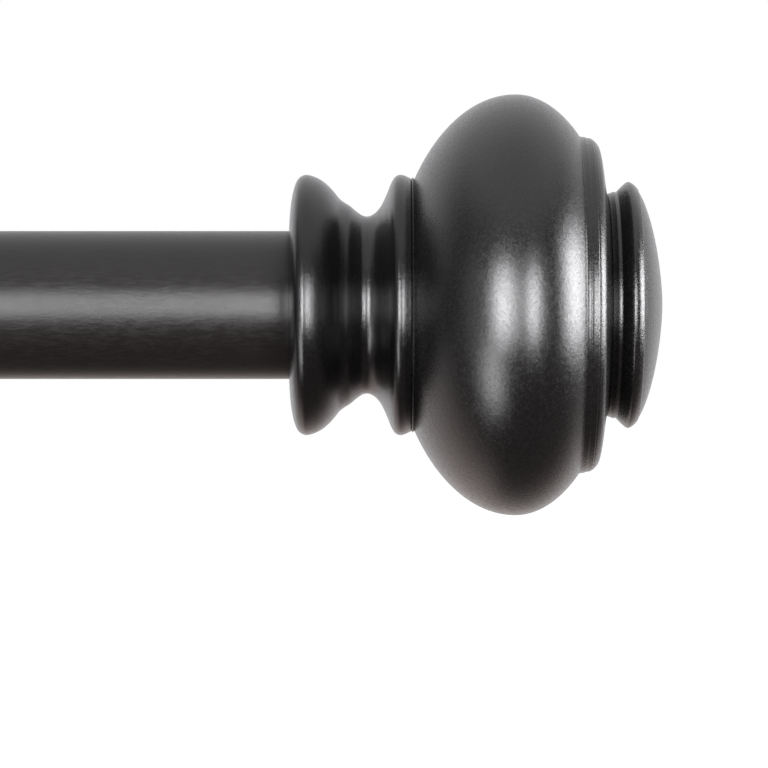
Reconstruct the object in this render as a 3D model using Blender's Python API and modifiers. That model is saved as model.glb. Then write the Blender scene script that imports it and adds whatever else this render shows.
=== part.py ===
"""A telescoping curtain rod with turned finials, held by two adjustable wall brackets.

The rod runs along X, the wall is the plane y = 0 and the room is on its -Y side.
The origin is the middle of the right wall plate's back face.
"""

from math import cos, pi, radians, sin

import bmesh
import bpy
from mathutils import Matrix, Vector

MM = 0.001
GAP = 0.3 * MM  # between pieces that touch

# Rod: two tubes, the thinner one sliding in the other
OUTER_R = 12.7 * MM
INNER_R = 11.0 * MM
TUBE_WALL = 0.7 * MM
OUTER_LENGTH = 650 * MM
INNER_LENGTH = 700 * MM
ROD_LENGTH = 762 * MM  # from one finial's mouth to the other's

# Brackets
PROJECTION = 92 * MM  # wall to the rod's axis
ROD_Z = 20.5 * MM  # rod's axis above the wall plate's middle
RIGHT_FROM_MOUTH = 100 * MM
LEFT_FROM_MOUTH = 45 * MM
LEFT_RAISED = OUTER_R - INNER_R  # keeps the thinner tube level

PLATE_W = 28 * MM
PLATE_H = 84 * MM
PLATE_T = 3 * MM
PLATE_CORNER = 7 * MM
PLATE_EDGE = 0.9 * MM
SCREW_Z = 30 * MM
SOCKET_LENGTH = 45 * MM
SOCKET_R = 8.6 * MM
SOCKET_BASE_R = 12.6 * MM
SOCKET_BEAD_R = 9.8 * MM
ARM_R = 6 * MM
ARM_IN_SOCKET = 38 * MM
ARM_FLAT_Z = 4.4 * MM
ARM_FLAT_BACK = 9 * MM  # the flat's length on the wall side of the rod's axis
ARM_TIP = 10.5 * MM  # the arm's end beyond the rod's axis
BORE_GAP = 0.3 * MM
CUP_WIDTH = 18 * MM
CUP_WALL = 2.8 * MM
CUP_R = OUTER_R + GAP
CUP_SIDE = 8 * MM  # height of the straight sides above the rod's axis
CUP_FOOT = 6.7 * MM
BOLT_R = 2 * MM
BOLT_HEAD_R = 4 * MM

# Screws with a knob, for the arm and for the rod
SHANK_R = 2.5 * MM
SHANK_LENGTH = 15 * MM
KNOB_R = 7.5 * MM
KNOB_LENGTH = 11 * MM
KNOB_FROM_TIP = 8 * MM
BOSS_R = 5 * MM
ARM_LOCK_Y = -38 * MM
SOCKET_BOSS_END = 12.5 * MM
CUP_BOSS_END = CUP_R + CUP_WALL + 3 * MM

# Fasteners behind the wall plate
WALL_SCREW_R = 2 * MM
WALL_SCREW_LENGTH = 38 * MM
WALL_HEAD_R = 4.2 * MM
WALL_HEAD_LENGTH = 2 * MM
ANCHOR_R = 4 * MM
ANCHOR_SET_BACK = 2.2 * MM  # sunk in the wall, so that the plate lies flat
ANCHOR_LENGTH = 30 * MM

# Finial, measured along the rod from its mouth towards its tip
TUBE_SEAT = 16 * MM
NECK_LENGTH = 20.7 * MM
NECK_BORE_R = OUTER_R + GAP
MOUTH_R = 15.4 * MM
FLANGE_R = 22.4 * MM
QUIRK_AT = 8.4 * MM
QUIRK_END = 9.6 * MM
QUIRK_R = 17.5 * MM
VALLEY_AT = 13 * MM
VALLEY_R = 15.3 * MM
NECK_END_R = 22 * MM
BULB_MIDDLE = 38.5 * MM
BULB_R = 36.2 * MM
BULB_LEFT_A = 22.4 * MM
BULB_RIGHT_A = 18.3 * MM
BULB_END = 49.3 * MM
BULB_WALL = 3 * MM
COLLAR_END = 54.1 * MM
COLLAR_R = 28.8 * MM
GROOVE_R = 19.2 * MM
BUTTON_RIM_AT = 57.2 * MM
BUTTON_R = 21.3 * MM
TIP_AT = 63.75 * MM
STUD_R = 3 * MM
STUD_HOLE_R = STUD_R + GAP
STUD_FROM = 4 * MM
STUD_TO = 33 * MM
SPIGOT_R = 4 * MM
SPIGOT_TO = 42.5 * MM
BORE_BOSS_R = 8 * MM
PLUG_LENGTH = 14 * MM

FINE_STEPS = 28
MID_STEPS = 20
SMALL_STEPS = 12

RIGHT_MOUTH_X = RIGHT_FROM_MOUTH
LEFT_MOUTH_X = RIGHT_MOUTH_X - ROD_LENGTH
LEFT_BRACKET_X = LEFT_MOUTH_X + LEFT_FROM_MOUTH
OUTER_RIGHT_X = RIGHT_MOUTH_X + TUBE_SEAT
OUTER_LEFT_X = OUTER_RIGHT_X - OUTER_LENGTH
INNER_LEFT_X = LEFT_MOUTH_X - TUBE_SEAT
INNER_RIGHT_X = INNER_LEFT_X + INNER_LENGTH
ROD_AXIS = Vector((0, -PROJECTION, ROD_Z))

TO_RIGHT = Vector((1, 0, 0))
TO_LEFT = Vector((-1, 0, 0))
TO_ROOM = Vector((0, -1, 0))
TO_WALL = Vector((0, 1, 0))
DOWN = Vector((0, 0, -1))


def clear_scene():
    for old in list(bpy.data.objects):
        bpy.data.objects.remove(old)


def new_collection(name):
    collection = bpy.data.collections.new(name)
    bpy.context.scene.collection.children.link(collection)
    return collection


def new_material(name, colour, roughness, metallic):
    material = bpy.data.materials.new(name)
    material.use_nodes = True
    shader = material.node_tree.nodes["Principled BSDF"]
    shader.inputs["Base Color"].default_value = (*colour, 1)
    shader.inputs["Roughness"].default_value = roughness
    shader.inputs["Metallic"].default_value = metallic
    return material


clear_scene()
PARTS = new_collection("curtain_rod_with_brackets")
CUTTERS = new_collection("cutters")

ROD_PAINT = new_material("rod_paint", (0.030, 0.029, 0.030), 0.32, 0.6)
FINIAL_PAINT = new_material("finial_paint", (0.026, 0.025, 0.027), 0.36, 0.6)
BRACKET_PAINT = new_material("bracket_paint", (0.030, 0.029, 0.030), 0.38, 0.6)
KNOB_PAINT = new_material("knob_paint", (0.028, 0.027, 0.028), 0.40, 0.6)
ZINC_STEEL = new_material("zinc_steel", (0.55, 0.56, 0.58), 0.35, 1.0)
BLACK_PLASTIC = new_material("black_plastic", (0.015, 0.015, 0.016), 0.5, 0.0)
WHITE_PLASTIC = new_material("white_plastic", (0.62, 0.61, 0.58), 0.5, 0.0)


# Shapes


def add_object(name, mesh, material, collection=None):
    obj = bpy.data.objects.new(name, mesh)
    (collection or PARTS).objects.link(obj)
    if material:
        mesh.materials.append(material)
    return obj


def arc(middle, radii, start, end, steps):
    """(along, radius) points on an ellipse. 180 degrees is its mouth side, 90 its crest."""
    points = []
    for i in range(steps + 1):
        angle = radians(start + (end - start) * i / steps)
        points.append((middle[0] + radii[0] * cos(angle), middle[1] + radii[1] * sin(angle)))
    return points


def turned(name, outline, start, direction, material, steps, collection=None):
    """Spins (along, radius) points about an axis from start. The outer side runs forwards."""
    mesh = bpy.data.meshes.new(name)
    verts = [(radius, 0, -along) for along, radius in outline]
    edges = [(i, i + 1) for i in range(len(verts) - 1)]
    if outline[0][1] > 0:
        edges.append((len(verts) - 1, 0))
    mesh.from_pydata(verts, edges, [])
    obj = add_object(name, mesh, material, collection)
    obj.location = start
    obj.rotation_mode = "QUATERNION"
    obj.rotation_quaternion = direction.to_track_quat("-Z", "Y")
    screw = obj.modifiers.new("Turn", "SCREW")
    screw.steps = steps
    screw.render_steps = steps
    screw.use_merge_vertices = True
    screw.merge_threshold = 0.00001
    screw.use_smooth_shade = True
    return obj


def ring(name, span, inner, outer, start, direction, material, steps):
    """A plain tube between two distances along its axis."""
    outline = [(span[0], outer), (span[1], outer), (span[1], inner), (span[0], inner)]
    return turned(name, outline, start, direction, material, steps)


def rod_cutter(name, radii, start, end, steps=SMALL_STEPS):
    """A cone or cylinder from start to end, for a Boolean."""
    mesh = bpy.data.meshes.new(name)
    along = end - start
    shape = bmesh.new()
    bmesh.ops.create_cone(
        shape, cap_ends=True, segments=steps, radius1=radii[0], radius2=radii[1], depth=along.length
    )
    turn = along.to_track_quat("Z", "Y").to_matrix().to_4x4()
    shape.transform(Matrix.Translation((start + end) / 2) @ turn)
    shape.to_mesh(mesh)
    shape.free()
    return as_cutter(add_object(name, mesh, None, CUTTERS))


def sink_cutter(name, surface, inwards, wide, narrow, sink, depth):
    """A countersunk hole's shape, from above the surface to below the far side."""
    above = 1 * MM
    outline = [(-above, 0), (-above, wide), (0.05 * MM, wide)]
    outline += [(sink, narrow), (depth, narrow), (depth, 0)]
    return as_cutter(turned(name, outline, surface, inwards, None, SMALL_STEPS, CUTTERS))


def box_cutter(name, low, high):
    mesh = bpy.data.meshes.new(name)
    shape = bmesh.new()
    size = high - low
    bmesh.ops.create_cube(shape, size=1)
    shape.transform(Matrix.Translation((low + high) / 2) @ Matrix.Diagonal((*size, 1)))
    shape.to_mesh(mesh)
    shape.free()
    return as_cutter(add_object(name, mesh, None, CUTTERS))


def as_cutter(obj):
    obj.hide_render = True
    obj.display_type = "WIRE"
    return obj


def combine(obj, other, operation):
    boolean = obj.modifiers.new(other.name, "BOOLEAN")
    boolean.operation = operation
    boolean.object = other


def flat_outline(name, points, thickness, middle, material):
    """A closed outline of (y, z) points, given a thickness along X, as a mesh."""
    curve = bpy.data.curves.new(name, "CURVE")
    curve.dimensions = "2D"
    curve.fill_mode = "BOTH"
    curve.extrude = thickness / 2
    spline = curve.splines.new("POLY")
    spline.points.add(len(points) - 1)
    for point, (y, z) in zip(spline.points, points):
        point.co = (y, z, 0, 1)
    spline.use_cyclic_u = True
    guide = bpy.data.objects.new(name + "_outline", curve)
    PARTS.objects.link(guide)
    graph = bpy.context.evaluated_depsgraph_get()
    mesh = bpy.data.meshes.new_from_object(guide.evaluated_get(graph))
    bpy.data.objects.remove(guide)
    shape = bmesh.new()
    shape.from_mesh(mesh)
    bmesh.ops.remove_doubles(shape, verts=shape.verts, dist=0.00001)
    bmesh.ops.recalc_face_normals(shape, faces=shape.faces)
    onto_yz = Matrix(((0, 0, 1), (1, 0, 0), (0, 1, 0))).to_4x4()
    shape.transform(Matrix.Translation(middle) @ onto_yz)
    shape.to_mesh(mesh)
    shape.free()
    mesh.name = name
    return add_object(name, mesh, material)


# Rod


def make_tubes():
    outer_start = Vector((OUTER_LEFT_X, ROD_AXIS.y, ROD_AXIS.z))
    inner_start = Vector((INNER_LEFT_X, ROD_AXIS.y, ROD_AXIS.z))
    bore = OUTER_R - TUBE_WALL
    ring("outer_tube", (0, OUTER_LENGTH), bore, OUTER_R, outer_start, TO_RIGHT, ROD_PAINT, FINE_STEPS)
    ring(
        "inner_tube",
        (0, INNER_LENGTH),
        INNER_R - TUBE_WALL,
        INNER_R,
        inner_start,
        TO_RIGHT,
        ROD_PAINT,
        FINE_STEPS,
    )


def make_glides():
    """A lipped ring in the outer tube's mouth, and one on the inner tube's hidden end."""
    lip = 1.5 * MM
    sleeve = 8 * MM
    inside = INNER_R + GAP
    outside = OUTER_R - TUBE_WALL - GAP
    mouth = Vector((OUTER_LEFT_X - GAP - lip, ROD_AXIS.y, ROD_AXIS.z))
    outline = [
        (0, OUTER_R),
        (lip, OUTER_R),
        (lip, outside),
        (lip + sleeve, outside),
        (lip + sleeve, inside),
        (0, inside),
    ]
    turned("glide_collar", outline, mouth, TO_RIGHT, BLACK_PLASTIC, FINE_STEPS)
    tail = Vector((INNER_RIGHT_X + GAP + lip, ROD_AXIS.y, ROD_AXIS.z))
    outline = [
        (0, outside),
        (lip + sleeve, outside),
        (lip + sleeve, inside),
        (lip, inside),
        (lip, INNER_R - TUBE_WALL),
        (0, INNER_R - TUBE_WALL),
    ]
    turned("guide_ring", outline, tail, TO_LEFT, BLACK_PLASTIC, FINE_STEPS)


# Finial


def neck_outline():
    bead = arc((3.4 * MM, MOUTH_R), (3.4 * MM, FLANGE_R - MOUTH_R), 180, 90, 4)
    shoulder = arc((3.6 * MM, MOUTH_R), (5 * MM, FLANGE_R - MOUTH_R), 90, 26, 4)[1:]
    points = bead + shoulder
    points.append((QUIRK_AT, QUIRK_R + 0.4 * MM))
    fall = 4
    for i in range(fall + 1):
        ease = (1 + cos(pi * i / fall)) / 2
        along = QUIRK_END + (VALLEY_AT - QUIRK_END) * i / fall
        points.append((along, VALLEY_R + (QUIRK_R - VALLEY_R) * ease))
    points += arc((VALLEY_AT, VALLEY_R + 6.5 * MM), (3.95 * MM, 6.5 * MM), -90, -28, 4)[1:]
    points += arc((18.9 * MM, 19.9 * MM), (2.2 * MM, 2.5 * MM), 155, 60, 4)
    points.append((NECK_LENGTH, NECK_END_R))
    seat_end = TUBE_SEAT + GAP
    points += [(NECK_LENGTH, STUD_HOLE_R), (seat_end, STUD_HOLE_R)]
    points += [(seat_end, NECK_BORE_R), (0, NECK_BORE_R)]
    return points


def bulb_outline():
    left = NECK_LENGTH + GAP
    face_angle = 180 - 38.6  # where the bulb meets the neck's end face
    points = [(left, STUD_HOLE_R)]
    points += arc((BULB_MIDDLE, 0), (BULB_LEFT_A, BULB_R), face_angle, 90, 8)
    end_angle = 53.8
    points += arc((BULB_MIDDLE, 0), (BULB_RIGHT_A, BULB_R), 90, end_angle, 5)[1:]
    spigot_hole = SPIGOT_R + GAP
    points += [(BULB_END, spigot_hole), (SPIGOT_TO - GAP, spigot_hole)]
    points += [(SPIGOT_TO - GAP, BORE_BOSS_R), (BULB_END - BULB_WALL, BORE_BOSS_R)]
    points += arc(
        (BULB_MIDDLE, 0), (BULB_RIGHT_A - BULB_WALL, BULB_R - BULB_WALL), 58, 90, 2
    )
    points += arc(
        (BULB_MIDDLE, 0), (BULB_LEFT_A - BULB_WALL, BULB_R - BULB_WALL), 90, 138, 4
    )[1:]
    points += [(left + BULB_WALL, BORE_BOSS_R), (STUD_TO + 1 * MM, BORE_BOSS_R)]
    points.append((STUD_TO + 1 * MM, STUD_HOLE_R))
    return points


def collar_outline():
    left = BULB_END + GAP
    hole = SPIGOT_R + GAP
    return [
        (left, hole),
        (left, COLLAR_R - 0.6 * MM),
        (left + 0.4 * MM, COLLAR_R),
        (51.3 * MM, 28.3 * MM),
        (52.1 * MM, 27.5 * MM),
        (52.9 * MM, 25.2 * MM),
        (53.6 * MM, 21.9 * MM),
        (COLLAR_END, GROOVE_R + 0.3 * MM),
        (COLLAR_END, hole),
    ]


def button_outline():
    left = COLLAR_END + GAP
    dome = TIP_AT - BUTTON_RIM_AT
    points = [(SPIGOT_TO, 0), (SPIGOT_TO, SPIGOT_R), (left, SPIGOT_R), (left, GROOVE_R)]
    points += [(55.2 * MM, 19.5 * MM), (56 * MM, 20.6 * MM), (56.6 * MM, 21.15 * MM)]
    points += arc((BUTTON_RIM_AT, 0), (dome, BUTTON_R), 90, 0, 8)[:-1]
    points.append((TIP_AT, 0))
    return points


def make_finial(side, mouth_x, outwards, tube_bore):
    mouth = Vector((mouth_x, ROD_AXIS.y, ROD_AXIS.z))
    turned("finial_neck_" + side, neck_outline(), mouth, outwards, FINIAL_PAINT, FINE_STEPS)
    turned("finial_bulb_" + side, bulb_outline(), mouth, outwards, FINIAL_PAINT, FINE_STEPS)
    turned("finial_collar_" + side, collar_outline(), mouth, outwards, FINIAL_PAINT, FINE_STEPS)
    turned("finial_button_" + side, button_outline(), mouth, outwards, FINIAL_PAINT, FINE_STEPS)
    chamfer = 0.6 * MM
    stud = [
        (STUD_FROM, 0),
        (STUD_FROM, STUD_R - chamfer),
        (STUD_FROM + chamfer, STUD_R),
        (STUD_TO - chamfer, STUD_R),
        (STUD_TO, STUD_R - chamfer),
        (STUD_TO, 0),
    ]
    turned("finial_stud_" + side, stud, mouth, outwards, ZINC_STEEL, SMALL_STEPS)
    plug_span = (TUBE_SEAT - PLUG_LENGTH, TUBE_SEAT)
    ring(
        "end_plug_" + side,
        plug_span,
        STUD_HOLE_R,
        tube_bore - GAP,
        mouth,
        outwards,
        BLACK_PLASTIC,
        SMALL_STEPS,
    )


def make_reducer():
    """Fills the left neck's bore round the thinner tube."""
    mouth = Vector((LEFT_MOUTH_X, ROD_AXIS.y, ROD_AXIS.z))
    span = (0.6 * MM, TUBE_SEAT - GAP)
    ring(
        "reducer_sleeve",
        span,
        INNER_R + GAP,
        NECK_BORE_R - GAP,
        mouth,
        TO_LEFT,
        BLACK_PLASTIC,
        FINE_STEPS,
    )


# Bracket


def make_wall_plate(side, middle):
    """An upright plate with rounded corners and two countersunk holes."""
    mesh = bpy.data.meshes.new("wall_plate_" + side)
    shape = bmesh.new()
    bmesh.ops.create_cube(shape, size=1)
    shape.transform(Matrix.Diagonal((PLATE_W, PLATE_T, PLATE_H, 1)))
    upright = [e for e in shape.edges if abs(e.verts[0].co.y - e.verts[1].co.y) > PLATE_T / 2]
    bmesh.ops.bevel(
        shape,
        geom=upright,
        offset=PLATE_CORNER,
        segments=4,
        profile=0.5,
        affect="EDGES",
        material=-1,
    )
    front = [e for e in shape.edges if all(v.co.y < 0 for v in e.verts)]
    bmesh.ops.bevel(
        shape, geom=front, offset=PLATE_EDGE, segments=2, profile=0.5, affect="EDGES", material=-1
    )
    shape.transform(Matrix.Translation(middle + Vector((0, -PLATE_T / 2, 0))))
    shape.to_mesh(mesh)
    shape.free()
    plate = add_object("wall_plate_" + side, mesh, BRACKET_PAINT)
    for name, z in (("upper", SCREW_Z), ("lower", -SCREW_Z)):
        hole = middle + Vector((0, 0, z))
        label = f"{side}_{name}"
        front = hole + Vector((0, -PLATE_T, 0))
        wide = WALL_HEAD_R + GAP
        narrow = WALL_SCREW_R + GAP
        sink = WALL_HEAD_LENGTH + GAP
        depth = PLATE_T + 1 * MM
        cutter = sink_cutter("screw_hole_" + label, front, TO_WALL, wide, narrow, sink, depth)
        combine(plate, cutter, "DIFFERENCE")
        make_wall_screw(label, front)


def make_wall_screw(label, front):
    """A countersunk screw through the plate, in its anchor in the wall."""
    head = 0.1 * MM
    tip = head + WALL_SCREW_LENGTH
    outline = [
        (head, 0),
        (head, WALL_HEAD_R),
        (head + WALL_HEAD_LENGTH, WALL_SCREW_R),
        (tip - 4 * MM, WALL_SCREW_R),
        (tip, 0),
    ]
    turned("wall_screw_" + label, outline, front, TO_WALL, ZINC_STEEL, SMALL_STEPS)
    start = PLATE_T + ANCHOR_SET_BACK
    bore = WALL_SCREW_R + GAP
    outline = [
        (start, ANCHOR_R),
        (start + ANCHOR_LENGTH - 8 * MM, ANCHOR_R),
        (start + ANCHOR_LENGTH, ANCHOR_R - 1 * MM),
        (start + ANCHOR_LENGTH, bore),
        (start, bore),
    ]
    turned("wall_anchor_" + label, outline, front, TO_WALL, WHITE_PLASTIC, SMALL_STEPS)


def make_socket(side, middle):
    """A flanged tube on the plate, with a boss below for the arm's lock screw."""
    start = PLATE_T + GAP
    end = start + SOCKET_LENGTH
    bore = ARM_R + BORE_GAP
    outline = [(start, SOCKET_BASE_R - 0.6 * MM), (start + 0.6 * MM, SOCKET_BASE_R)]
    outline += arc((start + 6 * MM, SOCKET_BASE_R), (4 * MM, SOCKET_BASE_R - SOCKET_R), 180, 270, 3)
    outline += arc((end - 2.5 * MM, SOCKET_R), (2.5 * MM, SOCKET_BEAD_R - SOCKET_R), 180, 20, 5)
    outline += [(end, SOCKET_R), (end, bore), (start, bore)]
    socket = turned("arm_socket_" + side, outline, middle, TO_ROOM, BRACKET_PAINT, MID_STEPS)
    axis = middle + Vector((0, ARM_LOCK_Y, 0))
    boss_top = axis + DOWN * (bore + 1 * MM)
    boss_end = axis + DOWN * SOCKET_BOSS_END
    boss = rod_cutter("socket_boss_" + side, (BOSS_R, BOSS_R), boss_top, boss_end, MID_STEPS)
    combine(socket, boss, "UNION")
    hole_r = SHANK_R + GAP
    hole = rod_cutter("lock_hole_" + side, (hole_r, hole_r), axis, boss_end + DOWN * MM)
    combine(socket, hole, "DIFFERENCE")
    tip = axis + DOWN * (ARM_R + GAP)
    make_lock_screw("arm_lock", side, tip, DOWN)


def make_arm(side, middle):
    """A round bar with a flat on top at its end, where the cup is bolted."""
    back = PLATE_T + GAP + SOCKET_LENGTH - ARM_IN_SOCKET
    end = PROJECTION + ARM_TIP
    outline = [(back, 0), (back, ARM_R - 0.8 * MM), (back + 0.8 * MM, ARM_R)]
    outline += arc((end - 3 * MM, 0), (3 * MM, ARM_R), 90, 0, 5)[:-1]
    outline.append((end, 0))
    arm = turned("arm_" + side, outline, middle, TO_ROOM, BRACKET_PAINT, MID_STEPS)
    low = middle + Vector((-2 * ARM_R, -end - MM, ARM_FLAT_Z))
    high = middle + Vector((2 * ARM_R, ARM_FLAT_BACK - PROJECTION, 2 * ARM_R))
    combine(arm, box_cutter("arm_flat_" + side, low, high), "DIFFERENCE")
    below = middle + Vector((0, -PROJECTION, 0))
    hole_r = BOLT_R + GAP
    depth = below + DOWN * 2.5 * MM
    top = below - DOWN * 2 * ARM_R
    combine(arm, rod_cutter("bolt_hole_" + side, (hole_r, hole_r), depth, top), "DIFFERENCE")


def make_cup(side, middle, rod_r):
    """An open-topped cradle for the rod, its bolt, and the screw that locks the rod in it."""
    centre = middle + Vector((0, -PROJECTION, ROD_Z))
    outer = CUP_R + CUP_WALL
    lip = 0.8 * MM
    points = [(-outer, CUP_SIDE - lip)]
    points += arc((0, 0), (outer, outer), 180, 245, 5)
    points += [(-CUP_FOOT, -outer), (CUP_FOOT, -outer)]
    points += arc((0, 0), (outer, outer), 295, 360, 5)
    points += [(outer, CUP_SIDE - lip), (outer - lip, CUP_SIDE), (CUP_R + lip, CUP_SIDE)]
    points.append((CUP_R, CUP_SIDE - lip))
    points += arc((0, 0), (CUP_R, CUP_R), 360, 180, 16)
    points += [(-CUP_R, CUP_SIDE - lip), (-CUP_R - lip, CUP_SIDE), (-outer + lip, CUP_SIDE)]
    cup = flat_outline("cup_" + side, points, CUP_WIDTH, centre, BRACKET_PAINT)

    boss_start = centre + TO_ROOM * (CUP_R + 1 * MM)
    boss_end = centre + TO_ROOM * CUP_BOSS_END
    boss = rod_cutter("cup_boss_" + side, (BOSS_R, BOSS_R), boss_start, boss_end, MID_STEPS)
    combine(cup, boss, "UNION")
    hole_r = SHANK_R + GAP
    hole_start = centre + TO_ROOM * (CUP_R - 2 * MM)
    hole_end = boss_end + TO_ROOM * MM
    hole = rod_cutter("rod_lock_hole_" + side, (hole_r, hole_r), hole_start, hole_end)
    combine(cup, hole, "DIFFERENCE")

    floor = centre + DOWN * CUP_R
    wide = BOLT_HEAD_R + GAP
    narrow = BOLT_R + GAP
    depth = CUP_WALL + 1 * MM
    way = sink_cutter("bolt_way_" + side, floor, DOWN, wide, narrow, 2.2 * MM, depth)
    combine(cup, way, "DIFFERENCE")
    head = 0.4 * MM
    outline = [
        (head, 0),
        (head, BOLT_HEAD_R - 0.4 * MM),
        (head + 1.6 * MM, BOLT_R - 0.1 * MM),
        (9 * MM, BOLT_R - 0.1 * MM),
        (9 * MM, 0),
    ]
    turned("cup_bolt_" + side, outline, floor, DOWN, ZINC_STEEL, SMALL_STEPS)
    make_lock_screw("rod_lock", side, centre + TO_ROOM * (rod_r + GAP), TO_ROOM)


def make_lock_screw(kind, side, tip, outwards):
    """A threaded shank whose tip presses on the bar or tube, and the knob that turns it."""
    chamfer = 0.5 * MM
    outline = [
        (0, 0),
        (0, SHANK_R - chamfer),
        (chamfer, SHANK_R),
        (SHANK_LENGTH - chamfer, SHANK_R),
        (SHANK_LENGTH, SHANK_R - chamfer),
        (SHANK_LENGTH, 0),
    ]
    turned(f"{kind}_shank_{side}", outline, tip, outwards, ZINC_STEEL, SMALL_STEPS)
    # The knob's outline runs from its outer end back to its hub, then into its blind hole.
    hub = KNOB_R - 2.5 * MM
    hole = SHANK_R + GAP
    blind = KNOB_FROM_TIP + KNOB_LENGTH - SHANK_LENGTH - GAP
    outline = [
        (0, 0),
        (0, KNOB_R - 2.4 * MM),
        (0.3 * MM, KNOB_R - 0.9 * MM),
        (1.2 * MM, KNOB_R),
        (KNOB_LENGTH - 3.2 * MM, KNOB_R),
        (KNOB_LENGTH - 2 * MM, hub),
        (KNOB_LENGTH, hub),
        (KNOB_LENGTH, hole),
        (blind, hole),
        (blind, 0),
    ]
    base = tip + outwards * (KNOB_FROM_TIP + KNOB_LENGTH)
    turned(f"{kind}_knob_{side}", outline, base, -outwards, KNOB_PAINT, MID_STEPS)


def make_bracket(side, x, raised, rod_r):
    middle = Vector((x, 0, raised))
    make_wall_plate(side, middle)
    make_socket(side, middle)
    make_arm(side, middle)
    make_cup(side, middle, rod_r)


make_tubes()
make_glides()
make_finial("right", RIGHT_MOUTH_X, TO_RIGHT, OUTER_R - TUBE_WALL)
make_finial("left", LEFT_MOUTH_X, TO_LEFT, INNER_R - TUBE_WALL)
make_reducer()
make_bracket("right", 0, 0, OUTER_R)
make_bracket("left", LEFT_BRACKET_X, LEFT_RAISED, INNER_R)
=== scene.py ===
# %% [markdown]
# # A curtain rod with turned finials, on two wall brackets
#
# The rod is two steel tubes, one sliding in the other. Each end carries a finial: a turned neck,
# a fat oblate bulb, a flat collar and a domed button. Two brackets hold the rod off the wall.
#
# The measured model comes in first, as a fixed frame. Every new piece takes its place from the
# boxes of that frame's nodes, so nothing has to be fitted by eye.

# %% Load the frame
from math import atan2, cos, pi, radians, sin, tan

import bmesh
import bpy
from mathutils import Matrix, Vector


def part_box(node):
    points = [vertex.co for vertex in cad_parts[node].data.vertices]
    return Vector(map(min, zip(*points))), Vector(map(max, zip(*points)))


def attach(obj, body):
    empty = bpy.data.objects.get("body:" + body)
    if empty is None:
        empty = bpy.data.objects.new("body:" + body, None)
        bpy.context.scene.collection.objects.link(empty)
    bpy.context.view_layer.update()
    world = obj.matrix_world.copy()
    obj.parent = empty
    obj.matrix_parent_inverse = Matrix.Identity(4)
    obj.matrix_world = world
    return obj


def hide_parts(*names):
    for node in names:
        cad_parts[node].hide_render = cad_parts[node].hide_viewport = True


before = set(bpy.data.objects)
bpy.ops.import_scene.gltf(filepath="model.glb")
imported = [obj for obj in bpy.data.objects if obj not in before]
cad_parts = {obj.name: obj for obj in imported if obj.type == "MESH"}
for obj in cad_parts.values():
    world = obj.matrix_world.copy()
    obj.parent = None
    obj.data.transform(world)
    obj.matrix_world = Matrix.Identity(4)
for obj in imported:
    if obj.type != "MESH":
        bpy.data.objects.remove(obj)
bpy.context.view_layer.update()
MM = 0.001

# %% Places on the rod
# The right neck's box starts at its mouth, and its middle lies on the rod's axis.
neck_low, neck_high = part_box("finial_neck_right")
RIGHT_MOUTH = Vector((neck_low.x, (neck_low.y + neck_high.y) / 2, (neck_low.z + neck_high.z) / 2))
neck_low, neck_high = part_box("finial_neck_left")
LEFT_MOUTH = Vector((neck_high.x, RIGHT_MOUTH.y, RIGHT_MOUTH.z))
TO_RIGHT = Vector((1, 0, 0))
TO_LEFT = Vector((-1, 0, 0))
TO_ROOM = Vector((0, -1, 0))
TO_WALL = Vector((0, 1, 0))
UP = Vector((0, 0, 1))
DOWN = Vector((0, 0, -1))

print("right mouth at", [round(c / MM, 2) for c in RIGHT_MOUTH], "mm")

# %% [markdown]
# ## Camera
#
# A long lens about 0.6 m from the rod looks level at one finial. A short lens would swell the
# bulb and show more of the collar's side, so the distance is set first and the lens follows it.

# %% Camera
VIEW_WIDTH = 131.8 * MM  # what the view spans at the rod's axis
CAMERA_DISTANCE = 618 * MM
CAMERA_BELOW_AXIS = 13.55 * MM
VIEW_MIDDLE = 16.04 * MM  # from the neck's mouth towards the finial's tip

scene = bpy.context.scene
camera_data = bpy.data.cameras.new("camera")
camera = bpy.data.objects.new("camera", camera_data)
scene.collection.objects.link(camera)
camera.location = RIGHT_MOUTH + Vector((VIEW_MIDDLE, -CAMERA_DISTANCE, -CAMERA_BELOW_AXIS))
camera.rotation_euler = (radians(90), 0, 0)
camera_data.sensor_width = 36
camera_data.lens = 36 * CAMERA_DISTANCE / VIEW_WIDTH
camera_data.clip_start = 0.01
camera_data.clip_end = 100
scene.camera = camera
print("lens:", round(camera_data.lens, 1), "mm")

# %% [markdown]
# ## Studio
#
# Dark satin paint shows its surroundings more than its own colour. So the studio decides the
# look: a white background behind, a dim room round the camera, and seven soft lights. Five stand
# in a row in front, the two strongest of them to the left and right of the camera. One shines
# along the wall from the right, and one comes from low on the left.
#
# The room's glow is a world shader, white towards the wall side and overhead, and dim towards
# the camera. Below the rod's level a shade holds the white back, except far to the left, and the
# glow from there is a little warm.

# %% World
scene.view_settings.view_transform = "Standard"

world = bpy.data.worlds.new("studio")
world.use_nodes = True
scene.world = world
world_tree = world.node_tree
world_tree.nodes.clear()


def add_node(tree, kind, place=(0, 0), **settings):
    node = tree.nodes.new(kind)
    node.location = place
    for key, value in settings.items():
        setattr(node, key, value)
    return node


def eased(tree, source, span, levels, place=(0, 0)):
    """A number that goes smoothly from one level to the other as source crosses the span."""
    node = add_node(tree, "ShaderNodeMapRange", place, interpolation_type="SMOOTHSTEP")
    node.inputs["From Min"].default_value, node.inputs["From Max"].default_value = span
    node.inputs["To Min"].default_value, node.inputs["To Max"].default_value = levels
    tree.links.new(source, node.inputs["Value"])
    return node.outputs["Result"]


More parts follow.
